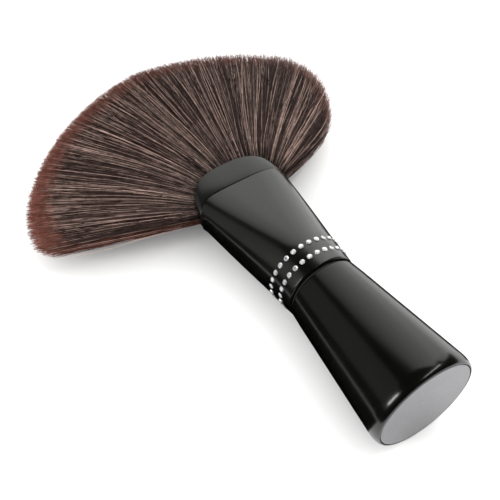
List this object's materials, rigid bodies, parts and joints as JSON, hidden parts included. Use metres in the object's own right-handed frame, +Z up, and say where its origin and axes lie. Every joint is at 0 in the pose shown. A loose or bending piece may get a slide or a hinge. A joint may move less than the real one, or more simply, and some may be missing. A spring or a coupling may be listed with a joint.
{
  "type": "neck duster brush",
  "caption": "Barber's neck duster with a tapered round grip that stands on its flat end, a flattened head with crystal rows, and a wide fan of soft dark filaments.",
  "frame": {"origin": "centre of the bounding box's bottom face, on the surface that the lying brush rests on", "axes": "+Y along the brush from the end disc to the filament tips, +X across the fan, +Z up out of the flat side"},
  "size_m": [0.1436, 0.1973, 0.0384],
  "materials": {
    "black_gloss": "polished black moulding",
    "black_satin": "satin black moulding",
    "silver_disc": "satin silver with a bright bevel",
    "crystal": "cut clear crystal, foil backed",
    "rubber": "matt black",
    "grey_plastic": "as moulded",
    "iron": "raw turned iron",
    "foam": "adhesive foam",
    "resin": "cast amber resin",
    "filament": "fine dark brown filaments with red-brown tips"
  },
  "bodies": {
    "handle": {"end_disc": "silver_disc", "disc_adhesive_pad": "foam", "end_plug": "grey_plastic", "ballast_slug": "iron", "grip_shell": "black_gloss", "joining_spigot": "grey_plastic", "neck_washer": "rubber", "head_shell": "black_gloss", "crystal_row_rear": "crystal", "crystal_row_front": "crystal", "bristle_cup": "black_satin", "potting_block": "resin", "filament_roots": "filament"},
    "bristle_fan": {"tuft_upper_01": "filament", "tuft_upper_02": "filament", "tuft_upper_03": "filament", "tuft_upper_04": "filament", "tuft_upper_05": "filament", "tuft_upper_06": "filament", "tuft_upper_07": "filament", "tuft_upper_08": "filament", "tuft_upper_09": "filament", "tuft_upper_10": "filament", "tuft_upper_11": "filament", "tuft_lower_01": "filament", "tuft_lower_02": "filament", "tuft_lower_03": "filament", "tuft_lower_04": "filament", "tuft_lower_05": "filament", "tuft_lower_06": "filament", "tuft_lower_07": "filament", "tuft_lower_08": "filament", "tuft_lower_09": "filament", "tuft_lower_10": "filament", "tuft_lower_11": "filament"}
  },
  "joints": [
    {"name": "bristle_flex", "type": "hinge", "parent": "handle", "child": "bristle_fan", "pos_m": [0, 0.02065, 0.01639], "axis": [1, 0, 0], "range_deg": [-20, 20], "stiffness_Nm_per_rad": 0.9}
  ]
}
